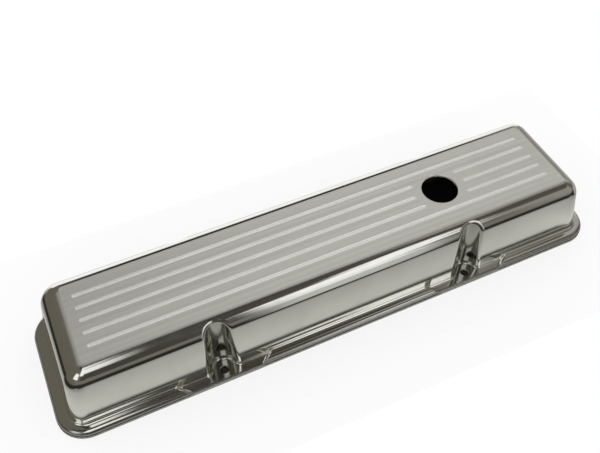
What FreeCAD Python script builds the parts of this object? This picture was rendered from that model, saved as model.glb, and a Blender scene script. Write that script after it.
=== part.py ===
"""Engine valve cover: one drawn aluminium pressing, open below, with a ball-milled top panel.

Sizes are in millimetres. +X runs along the cover and +Z up. Z = 0 is the gasket plane, the
underside of the flange. Each form is built twice, as the outside of the sheet and again set in
by its thickness, and the cover is what lies between the two. The inside has the same main form
as the outside, with its small radii left plain.
"""
import FreeCAD, Part
import math
import os

from FreeCAD import Vector

# Sheet
sheet = 2.0

# Flange and its rolled rail
flange_length = 482.0
flange_width = 120.4
flange_corner_radius = 24.0
rail_height = 7.0
rail_edge_radius = 4.5
root_radius = 2.5

# Dome. Its walls stand on the flange inside a ledge. The ends lean in more than the sides and roll
# over more gently. The panel edge angle is how far a shoulder has turned where it meets the flat.
cover_height = 62.5
side_ledge = 8.4
end_ledge = 9.6
panel_edge_angle = 8.0
side_shoulder_radius = 14.5
end_shoulder_radius = 20.0
dome_corner_radius = 13.0
side_wall_draft = 5.5
end_wall_draft = 10.0

# Bolts and the flutes pressed into the long walls to reach them
bolt_spacing_x = 221.6
bolt_edge_distance = 8.9
bolt_hole_radius = 3.75
flute_radius = 11.0
flute_setback = 0.7
flute_edge_radius = 3.5

# Bolt pads, pressed down into the rail
pad_height = 4.8
pad_edge_radius = 1.2
pad_outer_length = 57.0
pad_end_angle = 45.0
ramp_run = 3.5

# Breather hole in the panel
breather_x = 107.8
breather_radius = 15.5
breather_rim = 0.4

# Grooves cut along the panel with a ball mill
groove_count = 5
groove_pitch = 11.55
groove_end_margin = 7.6
groove_ball_radius = 1.8
groove_depth = 0.9
groove_clearance = 7.5

# How far a cutting body runs past the face that it opens
overrun = 5.0


def shoulder_arc(wall_foot, radius, wall_draft):
    """Centre (distance from the middle, height) of a shoulder whose wall stands at wall_foot."""
    draft = math.radians(wall_draft)
    arc_z = cover_height - radius * math.cos(math.radians(panel_edge_angle))
    arc_u = wall_foot - (radius + (arc_z - rail_height) * math.sin(draft)) / math.cos(draft)
    return arc_u, arc_z


def half_panel(wall_foot, radius, wall_draft):
    """Distance from the middle of the cover to the edge of the flat top panel."""
    arc_u, arc_z = shoulder_arc(wall_foot, radius, wall_draft)
    return arc_u + radius * math.sin(math.radians(panel_edge_angle))


def shoulder_section(wall_foot, radius, wall_draft, inset, floor):
    """Points (distance from the middle, height) from the panel edge down one side of the dome."""
    arc_u, arc_z = shoulder_arc(wall_foot, radius, wall_draft)
    draft = math.radians(wall_draft)
    reach = radius - inset
    start = math.acos((cover_height - inset - arc_z) / reach)
    end = math.pi / 2 - draft

    def on_arc(angle):
        return arc_u + reach * math.sin(angle), arc_z + reach * math.cos(angle)

    wall_top = on_arc(end)
    foot = (wall_top[0] + (wall_top[1] - floor) * math.tan(draft), floor)
    return on_arc(start), on_arc((start + end) / 2), wall_top, foot


def dome_face(section, place):
    """The closed section of the dome: panel, two shoulder arcs and two drafted walls."""
    edge, arc, wall, foot = [place(u, z) for u, z in section]
    far_edge, far_arc, far_wall, far_foot = [place(-u, z) for u, z in section]
    outline = [
        Part.makeLine(foot, wall),
        Part.Arc(wall, arc, edge).toShape(),
        Part.makeLine(edge, far_edge),
        Part.Arc(far_edge, far_arc, far_wall).toShape(),
        Part.makeLine(far_wall, far_foot),
        Part.makeLine(far_foot, foot),
    ]
    return Part.Face(Part.Wire(outline))


def dome(inset, floor):
    """The domed body as a solid: the side section and the end section crossed, corners rounded."""
    side_foot = flange_width / 2 - side_ledge
    end_foot = flange_length / 2 - end_ledge
    side = shoulder_section(side_foot, side_shoulder_radius, side_wall_draft, inset, floor)
    end = shoulder_section(end_foot, end_shoulder_radius, end_wall_draft, inset, floor)
    along = dome_face(side, lambda u, z: Vector(-flange_length / 2, u, z))
    across = dome_face(end, lambda u, z: Vector(u, -flange_width / 2, z))
    body = along.extrude(Vector(flange_length, 0, 0))
    body = body.common(across.extrude(Vector(0, flange_width, 0))).removeSplitter()
    return body.makeFillet(dome_corner_radius - inset, corner_edges(body))


def corner_edges(solid):
    """The edges of a solid that climb while also leaning along both X and Y."""
    chosen = []
    for edge in solid.Edges:
        rise = edge.Vertexes[0].Point - edge.Vertexes[-1].Point
        if min(abs(rise.x), abs(rise.y), abs(rise.z)) > 0.001:
            chosen.append(edge)
    return chosen


def upright_edges(solid):
    """The straight edges of a solid that run along Z."""
    chosen = []
    for edge in solid.Edges:
        if isinstance(edge.Curve, Part.Line) and abs(edge.Curve.Direction.z) > 0.999:
            chosen.append(edge)
    return chosen


def edges_at(solid, height):
    """The edges of a solid that lie wholly at one height."""
    chosen = []
    for edge in solid.Edges:
        if edge.BoundBox.ZLength < 0.001 and abs(edge.BoundBox.ZMin - height) < 0.001:
            chosen.append(edge)
    return chosen


def flange(inset, floor, top, edge_radius):
    """The flange as a plate with round corners. Its upper edge is rolled outside, bevelled inside."""
    length = flange_length - 2 * inset
    width = flange_width - 2 * inset
    plate = Part.makeBox(length, width, top - floor, Vector(-length / 2, -width / 2, floor))
    plate = plate.makeFillet(flange_corner_radius - inset, upright_edges(plate))
    if inset == 0:
        return plate.makeFillet(edge_radius, edges_at(plate, top))
    if edge_radius > inset:
        bevel = (2 - math.sqrt(2)) * (edge_radius - inset)
        return plate.makeChamfer(bevel, edges_at(plate, top))
    return plate


def bolt_y():
    """Distance of the bolts from the cover's middle plane."""
    return flange_width / 2 - bolt_edge_distance


def flute_axis_y():
    """Distance of the flutes' axes from the cover's middle plane."""
    return bolt_y() + flute_setback


def inside_plan(edge, reach_x, reach_y):
    """Whether an edge keeps inside the rectangle with the given half sizes."""
    box = edge.BoundBox
    return max(abs(box.XMin), abs(box.XMax)) < reach_x and max(abs(box.YMin), abs(box.YMax)) < reach_y


def fluted_dome(inset, floor):
    """The dome with its four flutes, their edges rolled over on the outside."""
    body = dome(inset, floor)
    radius = flute_radius + inset
    for x in (-bolt_spacing_x / 2, bolt_spacing_x / 2):
        for y in (-flute_axis_y(), flute_axis_y()):
            flute = Part.makeCylinder(radius, cover_height + overrun - floor, Vector(x, y, floor))
            body = body.cut(flute)
    if inset > 0:
        return body
    rims = []
    for edge in body.Edges:
        middle = edge.valueAt((edge.FirstParameter + edge.LastParameter) / 2)
        reach = math.hypot(abs(middle.x) - bolt_spacing_x / 2, abs(middle.y) - flute_axis_y())
        if abs(reach - radius) < 0.001 and edge.BoundBox.ZLength > 0.001:
            rims.append(edge)
    return body.makeFillet(flute_edge_radius, rims)


def seat_on_flange(body, plate, inset, top):
    """Joins the dome to the flange, on the outside with the hollow root radius between them."""
    joined = body.fuse(plate).removeSplitter()
    if inset > 0:
        return joined
    reach_x = flange_length / 2 - rail_edge_radius + 0.01
    reach_y = flange_width / 2 - 0.01
    roots = [edge for edge in edges_at(joined, top) if inside_plan(edge, reach_x, reach_y)]
    return joined.makeFillet(root_radius, roots)


def bolt_places():
    """Plan positions of the four bolts."""
    x = bolt_spacing_x / 2
    y = bolt_y()
    return [(-x, -y), (x, -y), (x, y), (-x, y)]


def pad_zone(x, side, inset, floor):
    """The column round one bolt in which the flange lies at pad height, with sloping ends.

    Its sides run askew across the flange and straight once they are inside the dome's wall.
    """
    end_slope = math.tan(math.radians(pad_end_angle))
    rise = rail_height - pad_height
    ramp_angle = math.atan(rise * math.hypot(1, end_slope) / ramp_run)
    shift = inset * math.tan(ramp_angle / 2) * math.hypot(1, end_slope)
    edge_y = flange_width / 2
    outer_y = edge_y + overrun
    knee_y = edge_y - side_ledge - overrun
    inner_y = flute_axis_y() - flute_radius - flute_edge_radius - overrun
    column_top = cover_height + overrun

    def plan(height, extra):
        half = pad_outer_length / 2 + shift + extra
        outer_half = half + (edge_y - outer_y) * end_slope
        knee_half = half + (edge_y - knee_y) * end_slope
        corners = [
            Vector(x - outer_half, side * outer_y, height),
            Vector(x + outer_half, side * outer_y, height),
            Vector(x + knee_half, side * knee_y, height),
            Vector(x + knee_half, side * inner_y, height),
            Vector(x - knee_half, side * inner_y, height),
            Vector(x - knee_half, side * knee_y, height),
        ]
        return Part.makePolygon(corners + corners[:1])

    foot = plan(floor - overrun, 0)
    ramp_foot = plan(pad_height - inset, 0)
    ramp_head = plan(rail_height - inset, ramp_run)
    head = plan(column_top, ramp_run)
    below = Part.makeLoft([foot, ramp_foot], True, True)
    ramp = Part.makeLoft([ramp_foot, ramp_head], True, True)
    above = Part.makeLoft([ramp_head, head], True, True)
    return below.fuse([ramp, above]).removeSplitter()


def pressing(inset, floor):
    """The form of the whole pressing, filled below, with its skin set in by the inset."""
    rail_top = rail_height - inset
    pad_top = pad_height - inset
    rail = flange(inset, floor, rail_top, rail_edge_radius)
    pads = flange(inset, floor, pad_top, pad_edge_radius)
    plain = seat_on_flange(dome(inset, floor), rail, inset, rail_top)
    fluted = seat_on_flange(fluted_dome(inset, floor), pads, inset, pad_top)
    zones = [pad_zone(x, math.copysign(1, y), inset, floor) for x, y in bolt_places()]
    return plain.cut(zones).fuse([fluted.common(zone) for zone in zones]).removeSplitter()


def groove_runs():
    """Start, end and Y of every groove: the ones that meet the breather hole stop clear of it."""
    end_foot = flange_length / 2 - end_ledge
    half_length = half_panel(end_foot, end_shoulder_radius, end_wall_draft) - groove_end_margin
    keep_out = breather_radius + groove_clearance
    runs = []
    for number in range(groove_count):
        y = (number - (groove_count - 1) / 2) * groove_pitch
        if abs(y) < keep_out:
            gap = math.sqrt(keep_out ** 2 - y ** 2)
            runs.append((-half_length, breather_x - gap, y))
            runs.append((breather_x + gap, half_length, y))
        else:
            runs.append((-half_length, half_length, y))
    return runs


def groove_cutter(start, end, y):
    """The path of the ball mill: a round bar that dips into the panel."""
    z = cover_height + groove_ball_radius - groove_depth
    return Part.makeCylinder(groove_ball_radius, end - start, Vector(start, y, z), Vector(1, 0, 0))


def breather_cutter():
    """The punched breather hole with its edge broken."""
    below = cover_height - sheet - overrun
    hole = Part.makeCylinder(breather_radius, sheet + 2 * overrun, Vector(breather_x, 0, below))
    wide = breather_radius + breather_rim
    rim = Part.makeCone(breather_radius, wide, breather_rim, Vector(breather_x, 0, cover_height - breather_rim))
    return hole.fuse(rim)


def bolt_cutters():
    """The four bolt holes through the pads."""
    holes = []
    for x, y in bolt_places():
        holes.append(Part.makeCylinder(bolt_hole_radius, pad_height + overrun, Vector(x, y, 0)))
    return holes


def valve_cover():
    """The finished cover: the pressed sheet, then its holes and grooves."""
    shell = pressing(0, 0).cut(pressing(sheet, -overrun))
    cutters = bolt_cutters()
    cutters.append(breather_cutter())
    cutters += [groove_cutter(*run) for run in groove_runs()]
    return shell.cut(cutters).removeSplitter()


cover = valve_cover()
box = cover.optimalBoundingBox(True, False)
print("valve_cover", len(cover.Solids), "solid", len(cover.Faces), "faces", "valid", cover.isValid())
print("volume", round(cover.Volume))
print("low corner", round(box.XMin, 3), round(box.YMin, 3), round(box.ZMin, 3))
print("high corner", round(box.XMax, 3), round(box.YMax, 3), round(box.ZMax, 3))
os.makedirs("parts", exist_ok=True)
cover.Solids[0].exportStep("parts/valve_cover.step")
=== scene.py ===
# %% [markdown]
# # A polished engine valve cover
#
# The object is one sheet of aluminium, drawn in a press into a long dome with a flange, then ball
# milled along the top and polished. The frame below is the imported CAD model. It gives the size and
# place of everything, in metres, with +X along the cover and +Z up.

# %% Load the frame
import functools
import math

import bpy
import bmesh
import numpy as np
from mathutils import Matrix, Vector


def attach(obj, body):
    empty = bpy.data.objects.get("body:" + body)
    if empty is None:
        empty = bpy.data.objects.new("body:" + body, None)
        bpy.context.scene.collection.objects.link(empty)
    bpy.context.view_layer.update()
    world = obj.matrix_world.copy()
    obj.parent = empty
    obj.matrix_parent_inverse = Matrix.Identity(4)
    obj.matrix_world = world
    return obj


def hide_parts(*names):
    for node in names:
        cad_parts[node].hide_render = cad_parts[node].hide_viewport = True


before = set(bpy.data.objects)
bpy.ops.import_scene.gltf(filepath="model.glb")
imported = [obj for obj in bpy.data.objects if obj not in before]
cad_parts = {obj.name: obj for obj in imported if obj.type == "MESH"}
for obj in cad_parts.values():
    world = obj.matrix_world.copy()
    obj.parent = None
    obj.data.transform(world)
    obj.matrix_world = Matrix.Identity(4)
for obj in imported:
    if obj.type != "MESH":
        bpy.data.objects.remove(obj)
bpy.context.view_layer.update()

MM = 0.001

# %% [markdown]
# ## Camera
#
# The photograph looks down at the cover from its front left, with strong perspective. These numbers
# come from fitting a pinhole camera to the grooves, the holes and the outline of the flange. A lens
# of 44 mm on the usual 36 mm sensor gives the same angle of view for an image of 600 by 453 pixels.

# %% Camera
CAMERA_LENS = 44.053
SENSOR_WIDTH = 36.0
NEAREST_SEEN = 0.01


def look_from(azimuth, elevation, roll, distance, target):
    """A matrix for a camera that looks at the target from those angles, in degrees."""
    azimuth, elevation, roll = (math.radians(v) for v in (azimuth, elevation, roll))
    sideways, level = math.sin(azimuth), math.cos(azimuth)
    back = Vector((sideways * math.cos(elevation), -level * math.cos(elevation), math.sin(elevation)))
    right = (-back).cross(Vector((0, 0, 1))).normalized()
    up = back.cross(right)
    tilted_right = math.cos(roll) * right + math.sin(roll) * up
    tilted_up = math.cos(roll) * up - math.sin(roll) * right
    matrix = Matrix((tilted_right, tilted_up, back)).transposed().to_4x4()
    matrix.translation = Vector(target) + back * distance
    return matrix


def add_object(name, data):
    """A new object in the scene."""
    obj = bpy.data.objects.new(name, data)
    bpy.context.scene.collection.objects.link(obj)
    return obj


camera = add_object("camera", bpy.data.cameras.new("camera"))
camera.matrix_world = look_from(
    azimuth=-24.655, elevation=51.351, roll=-0.139, distance=0.67243, target=(0.00471, 0.05772, 0.0))
camera.data.lens = CAMERA_LENS
camera.data.sensor_width = SENSOR_WIDTH
camera.data.clip_start = NEAREST_SEEN
bpy.context.scene.camera = camera
print("camera at", [round(v, 3) for v in camera.matrix_world.translation])

# %% [markdown]
# ## The pressed shape as a formula
#
# Polished metal shows every facet, so a CAD mesh with flat facets looks wrong in it. The shell is
# built here again from the same dimensions, in millimetres, as a signed distance: a function that is
# zero on the skin, positive outside and negative inside. Its slope is the exact normal of the skin.
# A quarter is enough, because the cover is the same on both sides of both middle planes. A pair of
# numbers is along X, or at the end, first and along Y, or at the side, second.

# %% Dimensions of the pressing
SHEET = 2.0
FLANGE_HALF = (241.0, 60.2)
FLANGE_CORNER_RADIUS = 24.0
RAIL_HEIGHT = 7.0
RAIL_EDGE_RADIUS = 4.5
ROOT_RADIUS = 2.5
COVER_HEIGHT = 62.5
LEDGE = (9.6, 8.4)
PANEL_EDGE_ANGLE = math.radians(8.0)
SHOULDER_RADIUS = (20.0, 14.5)
WALL_DRAFT = (math.radians(10.0), math.radians(5.5))
DOME_CORNER_RADIUS = 13.0
BOLT = (110.8, 51.3)
BOLT_HOLE_RADIUS = 3.75
FLUTE_RADIUS = 11.0
FLUTE_AXIS = (110.8, 52.0)
FLUTE_EDGE_RADIUS = 3.5
PAD_HEIGHT = 4.8
PAD_EDGE_RADIUS = 1.2
PAD_HALF = 28.5
PAD_DEPTH = 22.0
RAMP_RUN = 3.5
SHARPEST_EDGE = 0.15
END, SIDE = 0, 1
TINY = 1e-9


def arc_centre(which):
    """Distance from the middle, and height, of the centre of the end's or the side's shoulder."""
    radius, draft = SHOULDER_RADIUS[which], WALL_DRAFT[which]
    z = COVER_HEIGHT - radius * math.cos(PANEL_EDGE_ANGLE)
    foot = FLANGE_HALF[which] - LEDGE[which]
    return foot - (radius + (z - RAIL_HEIGHT) * math.sin(draft)) / math.cos(draft), z


ARC = (arc_centre(END), arc_centre(SIDE))
print("shoulder centres, end and side:", [[round(v, 2) for v in centre] for centre in ARC])

# %% [markdown]
# ### Shoulder and corner
#
# A press tool has a rounded shoulder on each side and a ball radius on each corner of the dome. The
# corner is where a ball of 13 mm rolls along inside both shoulders, so it is the set of points at
# 13 mm from the line that the centre of that ball draws. That line is the spine.

# %% Shoulder and corner
SPINE_STEPS = (30, 26)
SPINE_FOOT = -20.0
CORNER_MARGIN = 2.0
CORNER_REACH = 30.0
PARALLEL = 1e-6


def shoulder_distance(which, u, z, inset):
    """Signed distance from the shoulder and wall of the end or the side, and how level its normal is."""
    cu, cz = ARC[which]
    radius, draft = SHOULDER_RADIUS[which] - inset, WALL_DRAFT[which]
    du = np.maximum(u - cu, 0.0)
    dz = z - cz
    on_wall = du * math.sin(draft) > dz * math.cos(draft)
    reach = np.maximum(np.hypot(du, dz), TINY)
    level = np.where(on_wall, math.cos(draft), du / reach)
    distance = np.where(on_wall, (u - cu) * math.cos(draft) + dz * math.sin(draft), reach) - radius
    return distance, level


def offset_profile(which, s):
    """Where the shoulder's profile, set in by the corner radius, stands at height s, and its normal."""
    cu, cz = ARC[which]
    radius, draft = SHOULDER_RADIUS[which] - DOME_CORNER_RADIUS, WALL_DRAFT[which]
    dz = np.minimum(s - cz, radius)
    on_wall = dz < radius * math.sin(draft)
    on_arc = np.sqrt(np.maximum(radius ** 2 - dz ** 2, 0.0))
    u = np.where(on_wall, (radius - dz * math.sin(draft)) / math.cos(draft), on_arc)
    level = np.where(on_wall, math.cos(draft), on_arc / radius)
    upward = np.where(on_wall, math.sin(draft), dz / radius)
    return cu + u, level, upward


def spine_heights(start_angle, side_steps, end_steps, lowest):
    """Heights along the spine, close together where the shoulders bend."""
    side_reach, end_reach = (SHOULDER_RADIUS[which] - DOME_CORNER_RADIUS for which in (SIDE, END))
    side_angles = np.linspace(start_angle, math.pi / 2 - WALL_DRAFT[SIDE], side_steps)
    upper = ARC[SIDE][1] + side_reach * np.cos(side_angles)
    join = math.acos((upper[-1] - ARC[END][1]) / end_reach)
    end_angles = np.linspace(join, math.pi / 2 - WALL_DRAFT[END], end_steps)[1:]
    middle = ARC[END][1] + end_reach * np.cos(end_angles)
    return np.concatenate([upper, middle, lowest])


def spine_frame(s):
    """Points of the spine at heights s, with the normals of the end and of the side there."""
    x, x_level, x_up = offset_profile(END, s)
    y, y_level, y_up = offset_profile(SIDE, s)
    none = np.zeros_like(s)
    return np.stack([x, y, s], 1), np.stack([x_level, none, x_up], 1), np.stack([none, y_level, y_up], 1)


SPINE, SPINE_END_NORMAL, SPINE_SIDE_NORMAL = spine_frame(spine_heights(0.0, *SPINE_STEPS, [SPINE_FOOT]))


def in_wedge(a, b, cosine):
    """Where a point stands between the normals of two surfaces, so that their round edge is nearest."""
    return (a - cosine * b > 0) & (b - cosine * a > 0)


def rounded_max(a, b, cosine, radius):
    """The larger of two distances, with the edge between them rounded, for surfaces at that angle."""
    A, B = a + radius, b + radius
    spread = (A * A + B * B - 2 * cosine * A * B) / np.maximum(1 - cosine * cosine, PARALLEL)
    round_edge = np.sqrt(np.maximum(spread, 0.0)) - radius
    return np.where(in_wedge(A, B, cosine), round_edge, np.maximum(a, b))


def dome_distance(p, inset):
    """Signed distance from the dome without its top face and flutes."""
    x, y, z = p.T
    side, _ = shoulder_distance(SIDE, y, z, inset)
    end, _ = shoulder_distance(END, x, z, inset)
    distance = np.maximum(side, end)
    near = (x > ARC[END][0] - CORNER_MARGIN) & (y > ARC[SIDE][0] - CORNER_MARGIN)
    near &= distance < CORNER_REACH
    if not near.any():
        return distance
    q = p[near]
    best = np.full(len(q), np.inf)
    spot, n_end, n_side = (np.zeros((len(q), 3)) for _ in range(3))
    for k in range(len(SPINE) - 1):
        run = SPINE[k + 1] - SPINE[k]
        t = np.clip((q - SPINE[k]) @ run / (run @ run), 0, 1)[:, None]
        here = SPINE[k] + t * run
        far = ((q - here) ** 2).sum(1)
        hit = far < best
        best[hit], spot[hit] = far[hit], here[hit]
        for normal, knots in ((n_end, SPINE_END_NORMAL), (n_side, SPINE_SIDE_NORMAL)):
            normal[hit] = (knots[k] + t * (knots[k + 1] - knots[k]))[hit]
    n_end /= np.linalg.norm(n_end, axis=1)[:, None]
    n_side /= np.linalg.norm(n_side, axis=1)[:, None]
    cosine = (n_end * n_side).sum(1)
    rounded = in_wedge(((q - spot) * n_side).sum(1), ((q - spot) * n_end).sum(1), cosine)
    distance[near] = np.where(rounded, np.sqrt(best) - (DOME_CORNER_RADIUS - inset), distance[near])
    return distance


print("spine of the corner:", len(SPINE), "points")

# %% [markdown]
# ### Flutes, flange and root
#
# Two vertical flutes on each long side leave room for a bolt head, and the flange is lower there, as a
# flat pad with sloping ends. Everything is joined by the same rounded maximum: an outside edge rounds
# the larger of two distances, and the root where the wall meets the flange rounds the smaller.

# %% Flutes, flange and root
STEP = 0.01
STEEPEST_COSINE = 0.999
STEEPEST_LEAN = 0.9
FLATTEST_SLOPE = 0.05
LONGEST_MOVE = 1.5


def body_distance(p, inset):
    """Signed distance from the dome's walls with their flutes."""
    x, y, z = p.T
    dx, dy = x - FLUTE_AXIS[0], y - FLUTE_AXIS[1]
    reach = np.maximum(np.hypot(dx, dy), TINY)
    _, level = shoulder_distance(SIDE, y, z, inset)
    cosine = np.clip(-dy / reach * level, -STEEPEST_COSINE, STEEPEST_COSINE)
    flute = FLUTE_RADIUS + inset - reach
    return rounded_max(dome_distance(p, inset), flute, cosine, FLUTE_EDGE_RADIUS - inset)


def smooth_step_up(t, ease=0.22):
    """Rises in a straight line from 0 at t = 0 to 1 at t = 1, with both bends eased."""
    def bend(v):
        return np.where(v > ease, v, np.where(v < -ease, 0.0, (v + ease) ** 2 / (4 * ease)))
    return bend(t) - bend(t - 1)


def flange_top(x, y, inset):
    """Height of the flange's top face and radius of its upper edge, lower over the bolt pads."""
    beyond = np.abs(x - BOLT[0]) - (PAD_HALF + (FLANGE_HALF[1] - y))
    rise = np.where(y > FLANGE_HALF[1] - PAD_DEPTH, smooth_step_up(beyond / RAMP_RUN), 1.0)
    height = PAD_HEIGHT + (RAIL_HEIGHT - PAD_HEIGHT) * rise
    radius = PAD_EDGE_RADIUS + (RAIL_EDGE_RADIUS - PAD_EDGE_RADIUS) * rise
    return height - inset, np.maximum(radius - inset, SHARPEST_EDGE)


def outline_distance(x, y, inset):
    """Signed distance in plan from the flange's outline."""
    qx = x - (FLANGE_HALF[0] - FLANGE_CORNER_RADIUS)
    qy = y - (FLANGE_HALF[1] - FLANGE_CORNER_RADIUS)
    outside = np.hypot(np.maximum(qx, 0), np.maximum(qy, 0))
    return outside + np.minimum(np.maximum(qx, qy), 0) - (FLANGE_CORNER_RADIUS - inset)


def skin_distance(p, inset):
    """Signed distance from the whole skin, above the rim and below the top face."""
    x, y, z = p.T
    body = body_distance(p, inset)
    above = body_distance(p + np.array([0, 0, STEP]), inset)
    lean = np.clip((above - body) / STEP, -STEEPEST_LEAN, STEEPEST_LEAN)
    height, radius = flange_top(x, y, inset)
    plate = rounded_max(outline_distance(x, y, inset), z - height, 0.0, radius)
    return -rounded_max(-body, -plate, lean, ROOT_RADIUS + inset)


def slope(distance, p, inset):
    """The slope of a distance function, which points straight out of its surface."""
    out = np.zeros_like(p)
    for axis in range(3):
        d = np.zeros(3)
        d[axis] = STEP
        out[:, axis] = (distance(p + d, inset) - distance(p - d, inset)) / (2 * STEP)
    return out


def settle(p, inset, rounds):
    """Moves points straight on to the skin."""
    for _ in range(rounds):
        g = slope(skin_distance, p, inset)
        move = skin_distance(p, inset) / np.maximum((g ** 2).sum(1), FLATTEST_SLOPE)
        p = p - np.clip(move, -LONGEST_MOVE, LONGEST_MOVE)[:, None] * g
    return p


sample = np.array([[0.0, 53.0, 30.0], [110.8, 41.0, 30.0], [150.0, 57.0, 7.0]])
print("distance of three points near the skin:", np.round(skin_distance(sample, 0.0), 2))

# %% [markdown]
# ### A grid that follows the bends
#
# Rows run round the cover, from the edge of the top face down over the shoulder, the wall, the root
# and the flange to the rim. Columns run down it, close together at the flutes, the corners and the
# pads' ends. In the flutes the points are found by casting rays at the wall from outside and halving
# the step until each ray meets it, and then spacing them evenly.

# %% Columns and rows of a quarter
FLUTE_REACH = 22.0
RAMP_REACH = 43.0
MIDDLE_COLUMNS = 9
RAMP_COLUMNS = 23
FLUTE_COLUMNS = 61
REST_COLUMNS = 7
CORNER_COLUMNS = 18
END_COLUMNS = 6
SHOULDER_ROWS = (26, 11)
WALL_ROWS = 6
LOWEST_ROW = 9.0
RAYS = 241
EYE_DISTANCE = 12.0
RAY_START, RAY_END = 2.0, 34.0
HALVINGS = 32
ramp_start, flute_start = BOLT[0] - RAMP_REACH, BOLT[0] - FLUTE_REACH
before_flute = np.concatenate([np.linspace(0, ramp_start - 1, MIDDLE_COLUMNS),
                               np.linspace(ramp_start, flute_start - 1, RAMP_COLUMNS)])
after_flute = np.linspace(BOLT[0] + FLUTE_REACH + 1, BOLT[0] + RAMP_REACH, RAMP_COLUMNS)
to_corner = np.linspace(0, 1, REST_COLUMNS + 1)[1:]
corner_turn = np.linspace(0, 1, CORNER_COLUMNS + 1)[1:]
end_share = np.linspace(1, 0, END_COLUMNS + 1)[1:]


def fluted_rows(z, y, inset):
    """Rows across the flute at heights z, where y is the straight wall's place at each height."""
    eye = np.array([FLUTE_AXIS[0], FLUTE_AXIS[1] + EYE_DISTANCE])
    widest = np.arctan(FLUTE_REACH / (eye[1] - y))
    angles = widest[:, None] * np.linspace(-1, 1, RAYS)
    direction = np.stack([np.sin(angles), -np.cos(angles), np.zeros_like(angles)], 2)
    origin = np.stack([np.full(len(z), eye[0]), np.full(len(z), eye[1]), z], 1)[:, None, :]
    near = np.full(angles.shape, RAY_START)
    far = RAY_END / np.cos(angles)
    for _ in range(HALVINGS):
        middle = (near + far) / 2
        outside = body_distance((origin + direction * middle[..., None]).reshape(-1, 3), inset) > 0
        outside = outside.reshape(middle.shape)
        near, far = np.where(outside, middle, near), np.where(outside, far, middle)
    curve = origin + direction * far[..., None]
    rows = []
    for line in curve:
        along = np.concatenate([[0], np.cumsum(np.linalg.norm(np.diff(line, axis=0), axis=1))])
        even = np.linspace(0, along[-1], FLUTE_COLUMNS)
        rows.append(np.stack([np.interp(even, along, line[:, k]) for k in range(3)], 1))
    return np.array(rows)


def dome_rows(inset):
    """Rows of a quarter from the top face's edge down to just above the root."""
    foot = np.linspace(ARC[END][1], LOWEST_ROW, WALL_ROWS + 1)[1:]
    centre, n_end, n_side = spine_frame(spine_heights(PANEL_EDGE_ANGLE, *SHOULDER_ROWS, foot))
    ball = DOME_CORNER_RADIUS - inset
    side = centre + ball * n_side
    end = centre + ball * n_end
    straight = side[:, None, :] * np.array([0, 1, 1])
    along_x = np.array([1, 0, 0])
    left, right = (straight + x[None, :, None] * along_x for x in (before_flute, after_flute))
    flute_x = BOLT[0] + FLUTE_REACH * np.linspace(-1, 1, FLUTE_COLUMNS)
    first = straight[:1] + flute_x[None, :, None] * along_x
    flute = np.concatenate([first, fluted_rows(side[1:, 2], side[1:, 1], inset)])
    rest_x = after_flute[-1] + to_corner[None, :] * (centre[:, :1] - after_flute[-1])
    rest = straight + rest_x[:, :, None] * along_x
    gap = np.arccos((n_end * n_side).sum(1))[:, None, None]
    turn = corner_turn[None, :, None]
    fan = np.sin((1 - turn) * gap) * n_side[:, None] + np.sin(turn * gap) * n_end[:, None]
    corner = centre[:, None] + ball * (fan / np.sin(gap))
    end_y = (centre[:, 1:2] * end_share)[:, :, None] * np.array([0, 1, 0])
    ends = end[:, None] * np.array([1, 0, 1]) + end_y
    rows = np.concatenate([left, flute, right, rest, corner, ends], 1)
    rows[..., 2] = np.minimum(rows[..., 2], COVER_HEIGHT - inset)
    return rows


dome = dome_rows(0.0)
print("dome rows and columns:", dome.shape[:2], "lowest:", round(float(dome[..., 2].min()), 2))

# %% [markdown]
# The flange's rows start where the wall's last row stands and end on the outline. Between them the
# height is known in closed form, also on the rolled upper edge, so only the root needs settling.
# A column that stands a wall knot's distance from the bolt at the wall meets the outline at the edge
# knot's distance from it, so the columns fan out over the pad and its ramps.

# %% Flange rows
WALL_KNOTS = [0, FLUTE_REACH, 36.9, 40.4, 60.0, 105.0]
EDGE_KNOTS = [0, 15.5, PAD_HALF, PAD_HALF + RAMP_RUN, 57.0, 105.0]
ROOT_ROWS, FLAT_ROWS, ROLLED_ROWS = 7, 7, 8
SETTLED_ROWS = 9
SETTLE_ROUNDS = 4
BESIDE_WALL = 2
WIDEST_ROLL = 0.9


def outline_columns(inset):
    """Where each column of the wall meets the flange's outline."""
    reach = np.array(FLANGE_HALF) - inset
    corner = np.array(FLANGE_HALF) - FLANGE_CORNER_RADIUS

    def spread(distance):
        return BOLT[0] + np.sign(distance) * np.interp(np.abs(distance), WALL_KNOTS, EDGE_KNOTS)

    before = spread(before_flute - BOLT[0])
    across = spread(FLUTE_REACH * np.linspace(-1, 1, FLUTE_COLUMNS))
    after = spread(after_flute - BOLT[0])
    rest = after[-1] + to_corner * (corner[0] - after[-1])
    x = np.concatenate([before, across, after, rest])
    turn = corner_turn * math.pi / 2
    round_out = np.stack([np.sin(turn), np.cos(turn)], 1)
    side = np.stack([x, np.full(len(x), reach[1])], 1)
    ends = np.stack([np.full(END_COLUMNS, reach[0]), corner[1] * end_share], 1)
    return np.concatenate([side, corner + (FLANGE_CORNER_RADIUS - inset) * round_out, ends])


def plate_height(place, inset):
    """Height of the flange's upper side with its rolled edge."""
    height, radius = flange_top(*place.T, inset)
    inward = np.maximum(-outline_distance(*place.T, inset), 0.0)
    over = np.maximum(radius - inward, 0.0)
    return height - radius + np.sqrt(np.maximum(radius ** 2 - over ** 2, 0.0))


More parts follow.
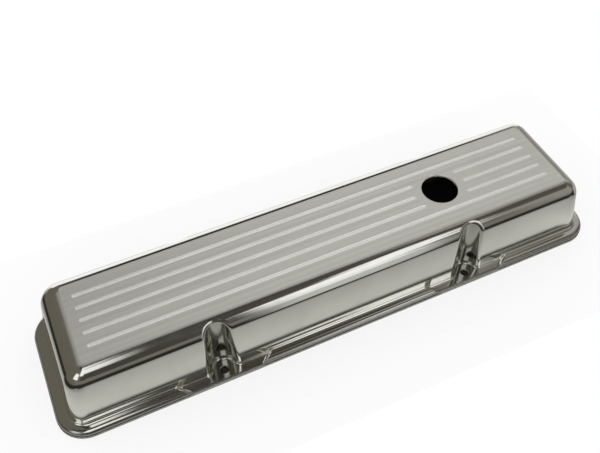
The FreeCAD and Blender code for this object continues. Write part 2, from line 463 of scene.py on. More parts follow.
def flange_rows(wall, inset):
    """Rows of a quarter from the foot of the wall over the root and the flange to the rim."""
    foot = wall[:, :2]
    edge = outline_columns(inset)
    level = np.column_stack([foot, np.full(len(foot), LOWEST_ROW)])
    away = slope(body_distance, level, inset)[:, :2]
    away /= np.linalg.norm(away, axis=1)[:, None]
    root = ROOT_RADIUS + inset
    height, _ = flange_top(*(foot + BESIDE_WALL * away).T, inset)
    rows = []
    for t in np.linspace(0, math.pi / 2, ROOT_ROWS):
        base = foot + away * root * (1 - math.cos(t))
        rows.append(np.column_stack([base, height + root * (1 - math.sin(t))]))
    start = rows[-1][:, :2]
    width = -outline_distance(*start.T, inset)
    bend = np.minimum(RAIL_EDGE_RADIUS - inset, WIDEST_ROLL * width)
    flat = [width + (bend - width) * t for t in np.linspace(0, 1, FLAT_ROWS + 1)[1:]]
    rolled = [bend * (1 - math.sin(t)) for t in np.linspace(0, math.pi / 2, ROLLED_ROWS + 1)[1:]]
    for inward in flat + rolled:
        base = edge + (start - edge) * (inward / width)[:, None]
        rows.append(np.column_stack([base, plate_height(base, inset)]))
    rows = np.array(rows)
    root_rows = rows[:SETTLED_ROWS]
    rows[:SETTLED_ROWS] = settle(root_rows.reshape(-1, 3), inset, SETTLE_ROUNDS).reshape(root_rows.shape)
    rim = np.column_stack([edge, np.zeros(len(edge))])
    return np.concatenate([rows, rim[None]])


def quarter(inset):
    """All rows of a quarter of the skin, in millimetres."""
    rows = dome_rows(inset)
    return np.concatenate([rows, flange_rows(rows[-1], inset)])


outer_quarter = quarter(0.0)
inner_quarter = quarter(SHEET)
print("rows and columns of a quarter:", outer_quarter.shape[:2])

# %% [markdown]
# ### One closed mesh
#
# The quarter is mirrored into closed rings of points. The outer skin, the inner skin 2 mm below it
# and the rim that joins them make one watertight sheet. The inner skin is out of sight, so it takes
# every second row and column. Each face gets the number of the finish it will have.

# %% Mesh of the shell
FINISH_NAMES = ["polished_walls", "brushed_panel", "milled_groove", "cut_edge", "rolled_edge",
                "pressed_inside"]
POLISHED, BRUSHED, MILLED, CUT, EDGE, INSIDE = range(len(FINISH_NAMES))
EDGE_ROWS = 5


def rings(rows):
    """Closed rings of points from the rows of a quarter, seen from above in clockwise order."""
    flip_y, flip_x = np.array([1, -1, 1]), np.array([-1, 1, 1])
    right = np.concatenate([rows, rows[:, -2::-1] * flip_y], 1)
    left = right[:, -2:0:-1] * flip_x
    return np.concatenate([right, left], 1)


def skin_faces(first, skin, outward):
    """Quads between neighbouring rings, and the flat face that closes the first ring."""
    row_count, column_count, _ = skin.shape
    faces = []
    for row in range(row_count - 1):
        here, below = first + row * column_count, first + (row + 1) * column_count
        for k in range(column_count):
            after = (k + 1) % column_count
            quad = (here + k, here + after, below + after, below + k)
            faces.append(quad if outward else quad[::-1])
    cap = tuple(first + k for k in range(column_count))
    return faces, cap[::-1] if outward else cap


outer = rings(outer_quarter)
inner_last = len(inner_quarter) - 1
inner = rings(inner_quarter)[[*range(0, inner_last, 2), inner_last], ::2]
outer_count, inner_count = outer.shape[1], inner.shape[1]
inner_first = len(outer) * outer_count
outer_faces, outer_cap = skin_faces(0, outer, True)
inner_faces, inner_cap = skin_faces(inner_first, inner, False)
outer_rim = inner_first - outer_count
inner_rim = inner_first + (len(inner) - 1) * inner_count
rim_faces = [(outer_rim + 2 * k, outer_rim + 2 * k + 1, outer_rim + (2 * k + 2) % outer_count,
              inner_rim + (k + 1) % inner_count, inner_rim + k) for k in range(inner_count)]

shell_mesh = bpy.data.meshes.new("shell")
points = np.concatenate([outer.reshape(-1, 3), inner.reshape(-1, 3)]) * MM
faces = outer_faces + [outer_cap] + inner_faces + [inner_cap] + rim_faces
shell_mesh.from_pydata(points.tolist(), [], faces)
outer_finish = [POLISHED] * (len(outer_faces) - (EDGE_ROWS + 1) * outer_count)
outer_finish += [EDGE] * (EDGE_ROWS * outer_count) + [CUT] * outer_count
finishes = outer_finish + [BRUSHED] + [INSIDE] * (len(inner_faces) + 1) + [CUT] * len(rim_faces)
shell_mesh.polygons.foreach_set("material_index", finishes)
finish_materials = [bpy.data.materials.new(name) for name in FINISH_NAMES]
for material in finish_materials:
    material.use_nodes = True
    shell_mesh.materials.append(material)
shell = add_object("shell", shell_mesh)
print("shell:", len(points), "points,", len(finishes), "faces")

# %% [markdown]
# ## Nodes
#
# The grooves, the finishes and the room are all made of nodes. These helpers make a node in one line
# and link it to the ones before it.

# %% Node helpers
def set_inputs(tree, node, inputs):
    """Sets a node's inputs by name or number. A value that is a socket becomes a link."""
    for name, value in dict(inputs).items():
        if isinstance(value, bpy.types.NodeSocket):
            tree.links.new(value, node.inputs[name])
        else:
            node.inputs[name].default_value = value


def add_node(tree, kind, inputs=(), **settings):
    """A node with its settings and inputs."""
    node = tree.nodes.new(kind)
    for name, value in settings.items():
        setattr(node, name, value)
    set_inputs(tree, node, inputs)
    return node


def maths(tree, operation, *terms):
    """The result of a Math node whose terms are numbers or sockets."""
    return add_node(tree, "ShaderNodeMath", enumerate(terms), operation=operation).outputs[0]


def arithmetic(tree):
    """Three functions, that add, subtract and multiply numbers or sockets by nodes of that tree."""
    return [functools.partial(maths, tree, name) for name in ("ADD", "SUBTRACT", "MULTIPLY")]


print("node helpers:", [f.__name__ for f in (set_inputs, add_node, maths, arithmetic)])

# %% [markdown]
# ## Ball milled grooves
#
# Five grooves run along the top face. Each is cut by a ball of 1.8 mm that goes 0.9 mm deep, and the
# middle three stop short of the breather hole and go on behind it. A row of equal cutters that follows
# a rule is work for Geometry Nodes: the group below places one stretched ball for each run of each
# groove. A ball with an odd number of rings has no ring at its waist, so its two halves can be
# pulled apart and leave a straight round bar between them.

# %% Groove cutters
BREATHER = (107.8, 0.0)
BALL_SEGMENTS, BALL_RINGS = 48, 25
GROOVE_INPUTS = {
    "Grooves": 5,
    "Pitch": 11.55 * MM,
    "End": 199.98 * MM,
    "Hole place": BREATHER[0] * MM,
    "Keep clear": 23.0 * MM,
    "Ball radius": 1.8 * MM,
    "Depth": 0.9 * MM,
    "Face height": COVER_HEIGHT * MM,
    "Finish": finish_materials[MILLED],
}
SOCKET_KINDS = {int: "NodeSocketInt", float: "NodeSocketFloat"}
groove_group = bpy.data.node_groups.new("groove_cutters", "GeometryNodeTree")
for name, value in GROOVE_INPUTS.items():
    kind = SOCKET_KINDS.get(type(value), "NodeSocketMaterial")
    groove_group.interface.new_socket(name, in_out="INPUT", socket_type=kind)
groove_group.interface.new_socket("Cutters", in_out="OUTPUT", socket_type="NodeSocketGeometry")
given = groove_group.nodes.new("NodeGroupInput").outputs
index = groove_group.nodes.new("GeometryNodeInputIndex").outputs[0]
plus, minus, times = arithmetic(groove_group)


def groove_node(kind, inputs=(), **settings):
    """The first output of a new node of the groove group."""
    return add_node(groove_group, kind, inputs, **settings).outputs[0]


def squared(term):
    """The square of a socket's number."""
    return times(term, term)


def choose(switch, off, on):
    """The number off where the switch is 0, and on where it is 1."""
    unswitched = times(off, minus(1.0, switch))
    return plus(unswitched, times(on, switch))


# Points 0 and 1 are the first and the second run of the first lane, 2 and 3 those of the next lane.
lane = maths(groove_group, "FLOOR", times(index, 0.5))
second = maths(groove_group, "MODULO", index, 2.0)
middle_lane = times(minus(given["Grooves"], 1.0), 0.5)
lane_y = times(minus(lane, middle_lane), given["Pitch"])

# Where a lane passes the hole nearer than the distance to keep clear, its first run stops before it.
room = minus(squared(given["Keep clear"]), squared(lane_y))
gap = maths(groove_group, "SQRT", maths(groove_group, "MAXIMUM", room, 0.0))
cut_short = maths(groove_group, "GREATER_THAN", room, 0.0)
stop = minus(given["Hole place"], gap)
resume = plus(given["Hole place"], gap)
left_end = times(given["End"], -1.0)
run_start = choose(second, left_end, resume)
run_end = choose(second, choose(cut_short, given["End"], stop), given["End"])
run_length = minus(run_end, run_start)
run_middle = times(plus(run_start, run_end), 0.5)

# The ball's centre is above the face, and it cuts a circle of this reach in it.
lift = minus(given["Ball radius"], given["Depth"])
ball_reach = maths(groove_group, "SQRT", minus(squared(given["Ball radius"]), squared(lift)))
half_run = minus(times(run_length, 0.5), ball_reach)
ball_height = plus(given["Face height"], lift)

place = groove_node("ShaderNodeCombineXYZ", {"X": run_middle, "Y": lane_y, "Z": ball_height})
point_count = times(given["Grooves"], 2.0)
lanes = groove_node("GeometryNodePoints", {"Count": point_count, "Position": place})
kept = groove_node("GeometryNodeStoreNamedAttribute", {
    "Geometry": lanes, "Name": "half_run", "Value": half_run}, data_type="FLOAT", domain="POINT")
needless = times(second, minus(1.0, cut_short))
runs = groove_node("GeometryNodeDeleteGeometry", {"Geometry": kept, "Selection": needless})

ball = groove_node("GeometryNodeMeshUVSphere", {
    "Segments": BALL_SEGMENTS, "Rings": BALL_RINGS, "Radius": given["Ball radius"]})
lying = groove_node("GeometryNodeTransform", {"Geometry": ball, "Rotation": (0, math.pi / 2, 0)})
position = groove_node("GeometryNodeInputPosition")
split = add_node(groove_group, "ShaderNodeSeparateXYZ", {"Vector": position}).outputs
marked = groove_node("GeometryNodeStoreNamedAttribute", {
    "Geometry": lying, "Name": "side", "Value": maths(groove_group, "SIGN", split["X"])},
    data_type="FLOAT", domain="POINT")
placed = groove_node("GeometryNodeInstanceOnPoints", {"Points": runs, "Instance": marked})
real = groove_node("GeometryNodeRealizeInstances", {"Geometry": placed})
side = groove_node("GeometryNodeInputNamedAttribute", {"Name": "side"}, data_type="FLOAT")
half = groove_node("GeometryNodeInputNamedAttribute", {"Name": "half_run"}, data_type="FLOAT")
pull = groove_node("ShaderNodeCombineXYZ", {"X": times(side, half)})
stretched = groove_node("GeometryNodeSetPosition", {"Geometry": real, "Offset": pull})
finished = groove_node("GeometryNodeSetMaterial", {"Geometry": stretched, "Material": given["Finish"]})
set_inputs(groove_group, groove_group.nodes.new("NodeGroupOutput"), {"Cutters": finished})

groove_tool = add_object("groove_tool", bpy.data.meshes.new("groove_tool"))
cutting = groove_tool.modifiers.new("grooves", "NODES")
cutting.node_group = groove_group
for item in groove_group.interface.items_tree:
    if item.in_out == "INPUT":
        cutting[item.identifier] = GROOVE_INPUTS[item.name]


def evaluated_mesh(obj):
    """A plain mesh of the object as its modifiers leave it."""
    return bpy.data.meshes.new_from_object(obj.evaluated_get(bpy.context.evaluated_depsgraph_get()))


groove_mesh = evaluated_mesh(groove_tool)
groove_tool.modifiers.clear()
groove_tool.data = groove_mesh
print("groove cutters:", len(groove_mesh.polygons), "faces, from x =",
      round(min(v.co.x for v in groove_mesh.vertices), 4))

# %% [markdown]
# ## Holes
#
# The breather hole and the four bolt holes are cut by plain round tools. The breather's tool widens
# over the last 0.4 mm, which breaks the sharp edge as a hand deburring tool would.

# %% Hole tools
BREATHER_RADIUS = 15.5
BREATHER_RIM = 0.4
TOOL_TOP = 70.0
TOOL_FOOT = -5.0
BREATHER_SEGMENTS, BOLT_SEGMENTS = 128, 64


def round_tool(name, x, y, profile, segments):
    """A turned cutter at (x, y) whose outline is a list of (radius, height), in millimetres."""
    tool = bmesh.new()
    turns = [2 * math.pi * k / segments for k in range(segments)]
    loops = []
    for r, z in profile:
        circle = [(x + r * math.cos(a), y + r * math.sin(a), z) for a in turns]
        loops.append([tool.verts.new([v * MM for v in point]) for point in circle])
    for low, high in zip(loops, loops[1:]):
        for k in range(segments):
            after = (k + 1) % segments
            tool.faces.new((low[k], low[after], high[after], high[k]))
    tool.faces.new(loops[0][::-1])
    tool.faces.new(loops[-1])
    mesh = bpy.data.meshes.new(name)
    tool.to_mesh(mesh)
    tool.free()
    mesh.materials.append(finish_materials[CUT])
    return add_object(name, mesh)


rim_start = COVER_HEIGHT - BREATHER_RIM
rim_grow = BREATHER_RADIUS + TOOL_TOP - rim_start
breather_profile = [(BREATHER_RADIUS, TOOL_FOOT), (BREATHER_RADIUS, rim_start), (rim_grow, TOOL_TOP)]
bolt_profile = [(BOLT_HOLE_RADIUS, TOOL_FOOT), (BOLT_HOLE_RADIUS, TOOL_TOP)]
tools = [round_tool("breather_tool", *BREATHER, breather_profile, BREATHER_SEGMENTS), groove_tool]
for sign_x, sign_y in ((-1, -1), (-1, 1), (1, -1), (1, 1)):
    bolt_x, bolt_y = sign_x * BOLT[0], sign_y * BOLT[1]
    tools.append(round_tool("bolt_tool", bolt_x, bolt_y, bolt_profile, BOLT_SEGMENTS))

for tool in tools:
    cut = shell.modifiers.new(tool.name, "BOOLEAN")
    cut.object = tool
    cut.operation = "DIFFERENCE"
    cut.solver = "MANIFOLD"
    cut.material_mode = "TRANSFER"
cover_mesh = evaluated_mesh(shell)
for scrap in tools + [shell]:
    bpy.data.objects.remove(scrap)
cover_mesh.name = "cover"
cover = add_object("cover", cover_mesh)
print("cover:", len(cover_mesh.polygons), "faces, finishes:", [m.name for m in cover_mesh.materials])

# %% [markdown]
# ## Exact normals
#
# Cutting leaves long thin faces, and averaging their directions would show as streaks in a mirror. The
# formula knows the true direction of the skin at every point, so each corner of a face takes its
# normal from there. Faces that a tool cut, and the flat top, keep their own direction, smoothed only
# with neighbours of the same cut.

# %% Normals
FOLLOWS_SKIN = math.cos(math.radians(35))
SAME_CUT = math.cos(math.radians(30))
FLAT_TOP = 0.9999
TOP_MARGIN = 0.1


def read(items, attribute, kind=int, width=1):
    """An array of one attribute of every vertex, corner or face."""
    values = np.empty(len(items) * width, dtype=kind)
    items.foreach_get(attribute, values)
    return values.reshape(-1, width) if width > 1 else values


places = read(cover_mesh.vertices, "co", float, 3) / MM
loop_vertex = read(cover_mesh.loops, "vertex_index")
face_normal = read(cover_mesh.polygons, "normal", float, 3)
face_finish = read(cover_mesh.polygons, "material_index")
loop_face = np.repeat(np.arange(len(face_finish)), read(cover_mesh.polygons, "loop_total"))
mirror = np.where(places < 0, -1.0, 1.0)
mirror[:, 2] = 1.0


def skin_normals(used, inset, outward):
    """Directions out of the sheet at the vertices that the faces of one skin use."""
    out = np.zeros_like(places)
    spot = places[used] * mirror[used]
    g = slope(skin_distance, spot, inset) * mirror[used] * outward
    out[used] = g / np.maximum(np.linalg.norm(g, axis=1), TINY)[:, None]
    return out


flat_normal = face_normal[loop_face]
loop_normal = flat_normal.copy()
for finishes_of_skin, inset, outward in (((POLISHED, EDGE), 0.0, 1.0), ((INSIDE,), SHEET, -1.0)):
    on_skin = np.isin(face_finish[loop_face], finishes_of_skin)
    used = np.unique(loop_vertex[on_skin])
    exact = skin_normals(used, inset, outward)[loop_vertex]
    agree = (exact * flat_normal).sum(1) > FOLLOWS_SKIN
    level = np.abs(flat_normal[:, 2]) > FLAT_TOP
    high = places[loop_vertex, 2] > COVER_HEIGHT - SHEET - TOP_MARGIN
    take = on_skin & agree & ~(level & high)
    loop_normal[take] = exact[take]

cut_loops = np.isin(face_finish[loop_face], (MILLED, CUT))
order = np.argsort(loop_vertex[cut_loops], kind="stable")
cut_index = np.flatnonzero(cut_loops)[order]
for group in np.split(cut_index, np.flatnonzero(np.diff(loop_vertex[cut_index])) + 1):
    own = flat_normal[group]
    alike = (own @ own.T) > SAME_CUT
    total = alike @ own
    loop_normal[group] = total / np.linalg.norm(total, axis=1)[:, None]
cover_mesh.polygons.foreach_set("use_smooth", [True] * len(face_finish))
cover_mesh.normals_split_custom_set(loop_normal.tolist())
print("normals set on", len(loop_normal), "corners")

# %% [markdown]
# ## Finishes
#
# All six finishes are the same bare aluminium, so they share one base colour and differ in how the
# surface was worked, except that the rolled edge's colour is set far darker as painted shade. Two
# effects are used more than once and are node groups: straight tool lines, which brushing and milling
# leave along the cover, and handling marks, the faint cloudy smears that every polished sheet carries.
# Both read Object coordinates, so they stay on the metal in any view.

# %% Shared effects
ALUMINIUM = (0.88, 0.878, 0.828)
STREAK_STRETCH = (0.35, 0.16, 0.16)
HAIR_STRETCH = (60.0, 700.0, 260.0)
SMEAR_CONTRAST = 4.0
HAIR_POWER = 4.0


def vector_maths(tree, operation, *terms):
    """The result of a Vector Math node whose terms are vectors or sockets."""
    node = add_node(tree, "ShaderNodeVectorMath", enumerate(terms), operation=operation)
    return node.outputs["Value" if operation == "LENGTH" else "Vector"]


def noise(tree, **inputs):
    """The value of a Noise Texture node."""
    return add_node(tree, "ShaderNodeTexNoise", inputs).outputs[0]


def effect_group(name, inputs, outputs):
    """A shader node group with a place and numbers as inputs, its input sockets and its output node."""
    group = bpy.data.node_groups.new(name, "ShaderNodeTree")
    group.interface.new_socket("Place", in_out="INPUT", socket_type="NodeSocketVector")
    for way, labels in (("INPUT", inputs), ("OUTPUT", outputs)):
        for label in labels:
            group.interface.new_socket(label, in_out=way, socket_type="NodeSocketFloat")
    return group, group.nodes.new("NodeGroupInput").outputs, group.nodes.new("NodeGroupOutput")


tool_lines, given, leave = effect_group("tool_lines", ["Length", "Fineness"], ["Lines", "Streaks"])
stretch = add_node(tool_lines, "ShaderNodeCombineXYZ", {
    "X": given["Length"], "Y": given["Fineness"], "Z": given["Fineness"]}).outputs[0]
stretched = vector_maths(tool_lines, "MULTIPLY", given["Place"], stretch)
broad_place = vector_maths(tool_lines, "MULTIPLY", stretched, STREAK_STRETCH)
set_inputs(tool_lines, leave, {
    "Lines": noise(tool_lines, Vector=stretched, Scale=1.0, Detail=3.0),
    "Streaks": noise(tool_lines, Vector=broad_place, Scale=1.0, Detail=2.0)})

handling_marks, given, leave = effect_group("handling_marks", ["Size", "Share"], ["Smears", "Scratches"])
plus, minus, times = arithmetic(handling_marks)
cloud = noise(handling_marks, Vector=given["Place"], Scale=given["Size"],
              Detail=5.0, Roughness=0.6, Distortion=0.8)
strong = times(minus(cloud, given["Share"]), SMEAR_CONTRAST)
hair_place = vector_maths(handling_marks, "MULTIPLY", given["Place"], HAIR_STRETCH)
hair = noise(handling_marks, Vector=hair_place, Scale=1.0, Detail=2.0, Distortion=1.5)
set_inputs(handling_marks, leave, {
    "Smears": maths(handling_marks, "MINIMUM", maths(handling_marks, "MAXIMUM", strong, 0.0), 1.0),
    "Scratches": maths(handling_marks, "POWER", hair, HAIR_POWER)})
print("shared effects:", [g.name for g in (tool_lines, handling_marks)])

# %% [markdown]
# ### Brush direction
#
# Buffed metal is a mirror with a little haze. A brushed face spreads a reflection across the brush
# lines and keeps it narrow along them, which is what anisotropy does. It needs to know which way the
# lines run, so the mesh gets a UV map whose first axis is the length of the cover.

# %% Brush direction
brush_map = cover_mesh.uv_layers.new(name="brush_direction")
plan = places[loop_vertex][:, :2] * MM
brush_map.data.foreach_set("uv", plan.ravel())
print("brush map corners:", len(plan))

# %% [markdown]
# ### Polished, brushed, milled, cut, rolled and pressed
#
# The polished finish changes in two places, by masks. Next to the top face the brushing runs over on
# to the shoulder, except at the back. Inside the flutes the metal is made duller, and its colour is
# darkened there as painted shade, to fit the photo. Milled grooves get a bright, slightly frosted
# finish.

# %% Materials
BRUSH_START, BRUSH_FULL = 0.0616, 0.0625
BRUSH_BACK_END, BRUSH_BACK_FULL = 0.0335, 0.0300
BRUSHED_ROUGHNESS, BRUSHED_MIRROR, BRUSH_ANISOTROPY = 0.42, 0.86, 0.6
FLUTE_DULL_AND_SHADE_END, FLUTE_DULL_AND_SHADE_FULL = 0.0130, 0.0108
FLUTE_ROUGHNESS, FLUTE_PAINTED_SHADE = 0.13, (0.6, 0.6, 0.58, 1.0)


def blend_value(tree, low, high, mask):
    """A number that goes from low to high as the mask goes from 0 to 1."""
    inputs = {"Value": mask, "To Min": low, "To Max": high}
    return add_node(tree, "ShaderNodeMapRange", inputs).outputs[0]


def ramp(tree, value, start, full):
    """A smooth mask that goes from 0 at start to 1 at full."""
    inputs = {"Value": value, "From Min": start, "From Max": full}
    return add_node(tree, "ShaderNodeMapRange", inputs, interpolation_type="SMOOTHSTEP").outputs[0]


def mix_value(tree, mask, first, second):
    """The first number where the mask is 0 and the second where it is 1."""
    return add_node(tree, "ShaderNodeMix", {0: mask, 2: first, 3: second}, data_type="FLOAT").outputs[0]


def mix_colour(tree, mask, first, second, blend="MIX"):
    """The first colour where the mask is 0, and where it is 1 the second, or what the blend makes."""
    # The inputs of a Mix node go by number, because it has them once more for each kind of data.
    node = add_node(tree, "ShaderNodeMix", {0: mask, 6: first, 7: second},
                    data_type="RGBA", blend_type=blend)
    return node.outputs[2]


def weigh(tree, first, second, share):
    """The sum of two numbers, with that share of the first and the rest of the second."""
    return maths(tree, "ADD", maths(tree, "MULTIPLY", first, share),
                 maths(tree, "MULTIPLY", second, 1 - share))


def use_group(tree, group, inputs, **settings):
    """The output sockets of a node that uses a group."""
    return add_node(tree, "ShaderNodeGroup", inputs, node_tree=group, **settings).outputs


def brushed_mask(tree, place):
    """1 next to the top face, where brushing runs over the shoulder, except on the rear shoulder."""
    along = add_node(tree, "ShaderNodeSeparateXYZ", {"Vector": place}).outputs
    return maths(tree, "MULTIPLY", ramp(tree, along["Z"], BRUSH_START, BRUSH_FULL),
                 ramp(tree, along["Y"], BRUSH_BACK_END, BRUSH_BACK_FULL))


def flute_dull_and_shade_mask(tree, place):
    """1 inside the flutes and 0 outside, by the distance in plan from the nearest flute's axis; duller
    metal and painted shade there.
    """
    axis = (FLUTE_AXIS[0] * MM, FLUTE_AXIS[1] * MM, 0.0)
    away = vector_maths(tree, "SUBTRACT", vector_maths(tree, "ABSOLUTE", place), axis)
    in_plan = vector_maths(tree, "MULTIPLY", away, (1.0, 1.0, 0.0))
    return ramp(tree, vector_maths(tree, "LENGTH", in_plan), FLUTE_DULL_AND_SHADE_END, FLUTE_DULL_AND_SHADE_FULL)


def metal(finish, mirror, roughness, wear_and_shade_levels, lines, line_share, bump, marks):
    """Bare aluminium. The pairs go from little to much wear, or are a group's own two numbers. The
    rolled edge's colour levels are set darker as painted shade.
    """
    tree = finish_materials[finish].node_tree
    place = tree.nodes.new("ShaderNodeTexCoord").outputs["Object"]
    lined = use_group(tree, tool_lines, {"Place": place, "Length": lines[0], "Fineness": lines[1]})
    marked = use_group(tree, handling_marks, {"Place": place, "Size": marks[0], "Share": marks[1]})
    worn = weigh(tree, lined["Streaks"], marked["Smears"], line_share)
    rough = blend_value(tree, *roughness, worn)
    bright, dim = (tuple(c * level for c in ALUMINIUM) + (1.0,) for level in wear_and_shade_levels)
    colour = mix_colour(tree, worn, bright, dim)
    if finish == POLISHED:
        brushed, dull_and_shade = brushed_mask(tree, place), flute_dull_and_shade_mask(tree, place)
        mirror = mix_value(tree, brushed, mirror, BRUSHED_MIRROR)
        rough = mix_value(tree, brushed, rough, BRUSHED_ROUGHNESS)
        rough = mix_value(tree, dull_and_shade, rough, FLUTE_ROUGHNESS)
        # Painted shade: the colour inside the flutes is multiplied darker.
        colour = mix_colour(tree, dull_and_shade, colour, FLUTE_PAINTED_SHADE, "MULTIPLY")
    height = weigh(tree, lined["Lines"], marked["Scratches"], line_share)
    relief = add_node(tree, "ShaderNodeBump", {"Strength": 1.0, "Distance": bump, "Height": height})
    shader = tree.nodes["Principled BSDF"]
    set_inputs(tree, shader, {"Metallic": mirror, "Roughness": rough, "Base Color": colour,
                              "Normal": relief.outputs[0]})
    if finish == BRUSHED:
        along = add_node(tree, "ShaderNodeTangent", direction_type="UV_MAP", uv_map="brush_direction")
        set_inputs(tree, shader, {"Anisotropic": BRUSH_ANISOTROPY, "Tangent": along.outputs[0]})
    print("finish:", FINISH_NAMES[finish])


FINISHES = [
    # finish, mirror, roughness, wear and shade levels, lines, their share, bump, marks
    (POLISHED, 1.0, (0.07, 0.13), (1.0, 0.94), (12.0, 700.0), 0.3, 0.000003, (34.0, 0.42)),
    (BRUSHED, BRUSHED_MIRROR, (0.36, 0.50), (1.06, 0.78), (3.0, 2200.0), 0.9, 0.00001, (22.0, 0.5)),
    (MILLED, 0.5, (0.2, 0.26), (1.12, 1.06), (9.0, 1200.0), 0.3, 0.000001, (30.0, 0.3)),
    (CUT, 0.55, (0.22, 0.36), (1.0, 0.86), (40.0, 900.0), 0.6, 0.000004, (60.0, 0.5)),
    # Painted shade: the rolled edge's colour levels are far below those of the other finishes.
    (EDGE, 1.0, (0.18, 0.30), (0.55, 0.34), (20.0, 600.0), 0.5, 0.000004, (60.0, 0.5)),
    (INSIDE, 0.9, (0.32, 0.45), (0.9, 0.78), (16.0, 300.0), 0.3, 0.00001, (25.0, 0.4)),
]
for row in FINISHES:
    metal(*row)

# %% [markdown]
# ## Paper and studio
#
# Polished metal has hardly a colour of its own: it shows the room. The cover lies on a sheet of pale
# paper, which lights its walls from below. The paper ends 70 mm from the flange, and the dark line
# along the shoulders is the gap past its edge. The camera sees the paper as white with a soft shadow.
# For other rays it is grey paper with painted light and shade: a narrow dark painted contact shadow and
# a painted fall-off of light outward.

# %% Paper
PAPER_MARGIN = 0.070
WHITE_SHARE = 0.7
# Each tone is a share of the way from the flange to the paper's edge, and the grey there.
# The greys are painted shade: a dark contact shadow by the flange and a fall-off of light outward.
PAPER_PAINTED_SHADING = [(0.0, 0.05), (0.070, 0.06), (0.105, 0.68), (0.20, 0.64), (0.43, 0.46), (0.75, 0.33),
               (1.0, 0.27)]
PAPER_BLUE = 0.95
PAPER_WHITE = (0.97, 0.97, 0.97, 1)
FIBRE_SCALE, FIBRE_SHARE, FIBRE_SHADE = 900.0, 0.12, (0.8, 0.8, 0.79, 1)
RIM_OVERLAP = 0.002
across, deep = (half * MM + PAPER_MARGIN for half in FLANGE_HALF)
corners = [(-across, -deep, 0), (across, -deep, 0), (across, deep, 0), (-across, deep, 0)]
floor_mesh = bpy.data.meshes.new("paper_sheet")
floor_mesh.from_pydata(corners, [], [(0, 1, 2, 3)])
floor = add_object("paper_sheet", floor_mesh)
paper = bpy.data.materials.new("pale_paper")
paper.use_nodes = True
floor_mesh.materials.append(paper)

tree = paper.node_tree
place = tree.nodes.new("ShaderNodeTexCoord").outputs["Object"]
inner_half = tuple((half - FLANGE_CORNER_RADIUS) * MM for half in FLANGE_HALF)
beyond = vector_maths(tree, "SUBTRACT", vector_maths(tree, "ABSOLUTE", place), inner_half + (1.0,))
outside = vector_maths(tree, "MAXIMUM", beyond, (0.0, 0.0, 0.0))
from_edge = maths(tree, "SUBTRACT", vector_maths(tree, "LENGTH", outside), FLANGE_CORNER_RADIUS * MM)
# Painted shade: this ramp paints a contact shadow and a fall-off of light on to the paper.
tone = add_node(tree, "ShaderNodeValToRGB", {0: maths(tree, "DIVIDE", from_edge, PAPER_MARGIN)})
while len(tone.color_ramp.elements) < len(PAPER_PAINTED_SHADING):
    tone.color_ramp.elements.new(1.0)
for element, (at, grey) in zip(tone.color_ramp.elements, PAPER_PAINTED_SHADING):
    element.position = at
    element.color = (grey, grey, grey * PAPER_BLUE, 1)
fibres = noise(tree, Vector=place, Scale=FIBRE_SCALE, Detail=2.0)
fibres_and_painted_shading = mix_colour(tree, blend_value(tree, 0.0, FIBRE_SHARE, fibres), tone.outputs[0], FIBRE_SHADE,
                   "MULTIPLY")
light_path = tree.nodes.new("ShaderNodeLightPath").outputs
uncovered = maths(tree, "GREATER_THAN", from_edge, -RIM_OVERLAP)
in_view = maths(tree, "MULTIPLY", light_path["Is Camera Ray"], uncovered)
shader = tree.nodes["Principled BSDF"]
set_inputs(tree, shader, {"Roughness": 0.9, "Specular IOR Level": 0.1,
                          "Base Color": mix_colour(tree, in_view, fibres_and_painted_shading, PAPER_WHITE)})
glow = add_node(tree, "ShaderNodeEmission", {"Color": (1, 1, 1, 1), "Strength": 1.0})
join = add_node(tree, "ShaderNodeMixShader", {
    0: maths(tree, "MULTIPLY", in_view, WHITE_SHARE), 1: shader.outputs[0], 2: glow.outputs[0]})
tree.links.new(join.outputs[0], tree.nodes["Material Output"].inputs["Surface"])
print("paper:", round(2 * across, 3), "by", round(2 * deep, 3), "m")

# %% [markdown]
# The room is drawn in the world, by direction, and only reflections see it. It is dim and brownish
# overhead, dark below and in front, and has a grey floor and a bright wall behind. Soft windows of
# light make the glints. A window is a rectangle in azimuth and elevation with soft edges, and a later
# one lies over the earlier ones. Azimuth 0 is in front of the cover and 90 to its right. Everything
# else is lit by an even white world.

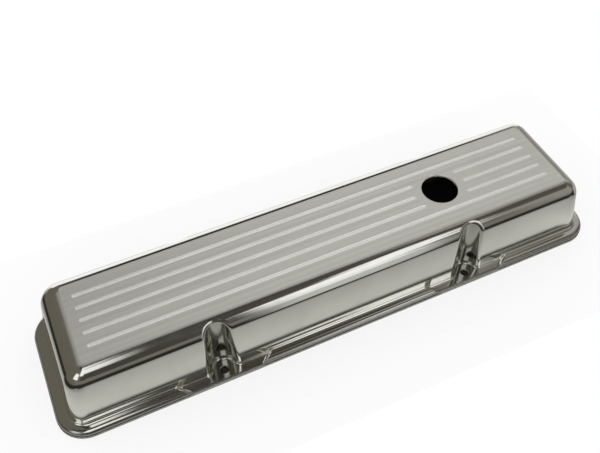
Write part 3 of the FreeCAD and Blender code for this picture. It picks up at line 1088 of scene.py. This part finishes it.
# %% Studio
WHITE = (1.0, 1.0, 1.0)
CEILING = (0.122, 0.112, 0.090)
WINDOWS = [
    # name, middle azimuth, half width, lowest, highest, softness, colour
    ("below", 0, 200, -100, -9, 6, (0.020, 0.019, 0.016)),
    ("back_floor", 145, 70, -100, -3, 8, (0.38, 0.375, 0.36)),
    ("overhead_right", 98, 42, 50, 74, 11, (0.27, 0.26, 0.235)),
    ("front_top", -30, 105, 66, 100, 6, (0.036, 0.034, 0.029)),
    ("front_dim", -6, 26, 11, 75, 9, (0.052, 0.048, 0.040)),
    ("front_low", 0, 60, -5, 11, 6, (0.16, 0.155, 0.135)),
    ("back_dim", 161, 23, 15, 62, 7, (0.035, 0.035, 0.032)),
    ("back_glow", 157, 13, 44, 68, 8, (1.0, 0.99, 0.95)),
    ("back_wall", 165, 36, -32, 15, 7, WHITE),
    ("right_wall", 118, 26, 4, 55, 14, (0.30, 0.29, 0.27)),
    ("right_high", 118, 22, 22, 74, 9, (0.36, 0.35, 0.33)),
    ("right_front_dim", 54, 17, 37, 57, 8, (0.075, 0.069, 0.055)),
    ("right_front_top", 36, 20, 50, 73, 8, (0.060, 0.055, 0.046)),
    ("right_low", 50, 17, 0, 35, 6, (0.26, 0.255, 0.235)),
    ("key_foot", 18, 7, -20, 14, 5, (0.52, 0.52, 0.52)),
    ("key_low", 18, 7, 12, 30, 5, (0.88, 0.88, 0.88)),
    ("key_window", 22, 10, 26, 46, 5, WHITE),
    ("key_top", 32, 6, 38, 53, 5, WHITE),
    ("right_spot", 119, 6, 26, 37, 5, (0.75, 0.74, 0.72)),
    ("left_window", -60, 13, 16, 46, 5, WHITE),
    ("corner_window", -29, 12, 38, 68, 5, WHITE),
    ("corner_tail", -10, 8, 44, 66, 5, WHITE),
    ("corner_top", -28, 20, 67, 78, 5, WHITE),
]
TO_DEGREES = 180 / math.pi
world = bpy.data.worlds.new("studio")
bpy.context.scene.world = world
world.use_nodes = True
window, given, leave = effect_group("soft_window", [
    "Azimuth", "Elevation", "Middle azimuth", "Half width", "Lowest", "Highest", "Softness"], ["Mask"])
plus, minus, times = arithmetic(window)
off_middle = minus(given["Azimuth"], given["Middle azimuth"])
wrapped = maths(window, "ABSOLUTE", maths(window, "WRAP", off_middle, 180.0, -180.0))


def soft_edge(inside):
    """1 where the number is well above 0, 0 where it is well below."""
    half = times(given["Softness"], 0.5)
    return ramp(window, inside, times(half, -1.0), half)


mask = soft_edge(minus(given["Half width"], wrapped))
for high, low in (("Elevation", "Lowest"), ("Highest", "Elevation")):
    mask = times(mask, soft_edge(minus(given[high], given[low])))
set_inputs(window, leave, {"Mask": mask})

tree = world.node_tree
direction = add_node(tree, "ShaderNodeSeparateXYZ", {
    "Vector": tree.nodes.new("ShaderNodeTexCoord").outputs["Generated"]}).outputs
frontward = maths(tree, "MULTIPLY", direction["Y"], -1.0)
turned = maths(tree, "ARCTAN2", direction["X"], frontward)
azimuth = maths(tree, "MULTIPLY", turned, TO_DEGREES)
elevation = maths(tree, "MULTIPLY", maths(tree, "ARCSINE", direction["Z"]), TO_DEGREES)
room = CEILING + (1,)
for name, middle, half, lowest, highest, softness, shade in WINDOWS:
    lit = use_group(tree, window, {
        "Azimuth": azimuth, "Elevation": elevation, "Middle azimuth": middle, "Half width": half,
        "Lowest": lowest, "Highest": highest, "Softness": softness}, name=name)
    room = mix_colour(tree, lit["Mask"], room, shade + (1,))
light_path = tree.nodes.new("ShaderNodeLightPath").outputs
shown = mix_colour(tree, light_path["Is Glossy Ray"], WHITE + (1,), room)
tree.links.new(shown, tree.nodes["Background"].inputs["Color"])
bpy.context.scene.view_settings.view_transform = "Standard"
print("studio windows:", [w[0] for w in WINDOWS])

# %% [markdown]
# ## Hand over to the frame
#
# The cover replaces its CAD node in the picture and rides on the one body of the part. The CAD solid
# stays for the simulation.

# %% Frame calls
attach(cover, "root")
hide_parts("valve_cover")
